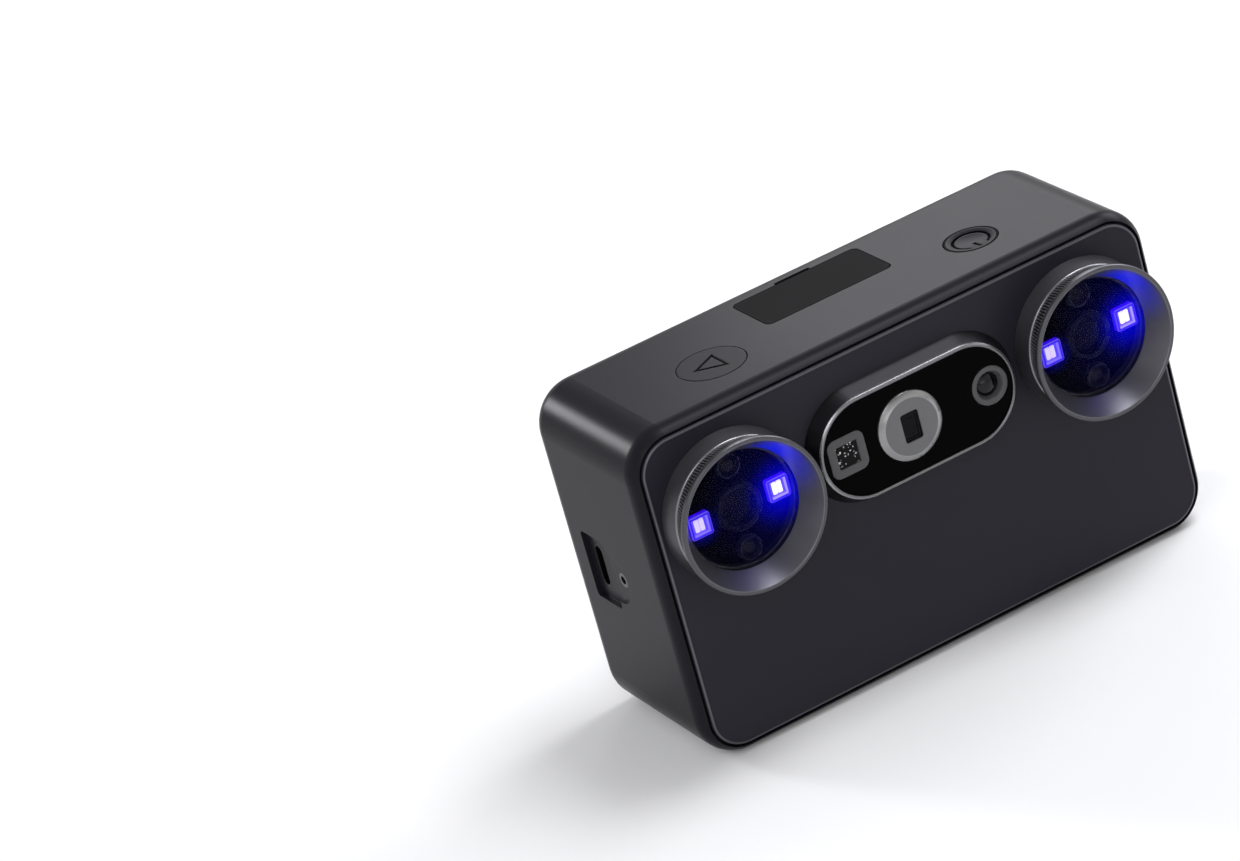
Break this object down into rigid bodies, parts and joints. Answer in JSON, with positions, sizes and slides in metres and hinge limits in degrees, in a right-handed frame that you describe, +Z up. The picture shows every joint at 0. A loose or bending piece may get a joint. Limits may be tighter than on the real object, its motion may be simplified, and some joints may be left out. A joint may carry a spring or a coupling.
{
  "type": "three-d scanner",
  "caption": "Hand-held three-d scanner: rounded dark box with hooded lens barrels and a projector window in front, a display behind, push buttons on top and a tripod thread in the base.",
  "frame": {"origin": "mouth of the tripod thread in the base, which is also the middle of the base of the bounding box", "axes": "+X across the front towards the battery door, the lenses look along -Y, +Z up"},
  "size_m": [0.116, 0.0488, 0.0695],
  "materials": {
    "shell": "fine satin grey",
    "plates": "satin dark grey",
    "barrel": "dark anodised",
    "hood": "black anodised",
    "grip": "ribbed black",
    "dark_glass": "polished, coated",
    "optics": "polished",
    "camera": "black",
    "lamp": "milky diffuser",
    "module": "satin grey",
    "screen": "dark",
    "mesh": "satin",
    "dark_trim": "black",
    "button": "satin",
    "soft_cover": "matte black",
    "circuit_board": "green",
    "bench": "milled",
    "steel": "bright",
    "contacts": "plated",
    "battery": "black"
  },
  "bodies": {
    "scanner_body": {"accessory_connector": "contacts", "base_panel": "shell", "base_screws": "steel", "base_side_panel": "shell", "battery_bay": "dark_trim", "battery_contacts": "contacts", "battery_pack": "battery", "button_board": "circuit_board", "colour_camera_lens": "optics", "colour_camera_ring": "camera", "display_glass": "dark_glass", "display_module": "screen", "door_hinge_pin": "steel", "dot_projector_frame": "module", "dot_projector_window": "optics", "fan_frame": "dark_trim", "front_cover": "plates", "laser_projector": "module", "laser_window": "optics", "lens_left_base": "barrel", "lens_left_beads": "optics", "lens_left_camera": "camera", "lens_left_emitters": "lamp", "lens_left_glass": "dark_glass", "lens_left_grip_ring": "grip", "lens_left_hood": "hood", "lens_left_sensor_board": "circuit_board", "lens_right_base": "barrel", "lens_right_beads": "optics", "lens_right_camera": "camera", "lens_right_emitters": "lamp", "lens_right_glass": "dark_glass", "lens_right_grip_ring": "grip", "lens_right_hood": "hood", "lens_right_sensor_board": "circuit_board", "lock_insert": "steel", "main_board": "circuit_board", "main_housing": "shell", "optical_bench": "bench", "port_receptacle": "steel", "rear_bezel": "plates", "speaker": "dark_trim", "strap_pin": "steel", "switch_body": "dark_trim", "switch_panel": "shell", "tact_switches": "dark_trim", "tripod_insert": "steel", "vent_grille": "mesh", "window_glass": "dark_glass", "window_rim": "barrel"},
    "battery_door_body": {"battery_door": "shell"},
    "door_latch_body": {"door_latch": "dark_trim"},
    "mode_switch_body": {"mode_switch": "dark_trim"},
    "scan_button_body": {"scan_button": "button"},
    "power_button_body": {"power_button": "button"},
    "accessory_cover_body": {"accessory_cover": "soft_cover"},
    "fan_rotor_body": {"fan_rotor": "dark_trim"}
  },
  "joints": [
    {"name": "battery_door_hinge", "type": "hinge", "parent": "scanner_body", "child": "battery_door_body", "pos_m": [0.0539, -0.00025, 0.0026], "axis": [0, 1, 0], "range_deg": [0, 90]},
    {"name": "door_latch_slide", "type": "slide", "parent": "battery_door_body", "child": "door_latch_body", "axis": [0, 0, 1], "range_m": [0, 0.0014]},
    {"name": "mode_switch_slide", "type": "slide", "parent": "scanner_body", "child": "mode_switch_body", "axis": [0, 0, -1], "range_m": [0, 0.0021]},
    {"name": "scan_button_press", "type": "slide", "parent": "scanner_body", "child": "scan_button_body", "axis": [0, 0, -1], "range_m": [0, 0.0007], "stiffness_N_per_m": 900},
    {"name": "power_button_press", "type": "slide", "parent": "scanner_body", "child": "power_button_body", "axis": [0, 0, -1], "range_m": [0, 0.0007], "stiffness_N_per_m": 900},
    {"name": "accessory_cover_lift", "type": "slide", "parent": "scanner_body", "child": "accessory_cover_body", "axis": [0, 0, 1], "range_m": [0, 0.012]},
    {"name": "fan_spin", "type": "hinge", "parent": "scanner_body", "child": "fan_rotor_body", "pos_m": [-0.02445, 0.00745, 0.005], "axis": [0, 0, 1], "continuous": true}
  ]
}
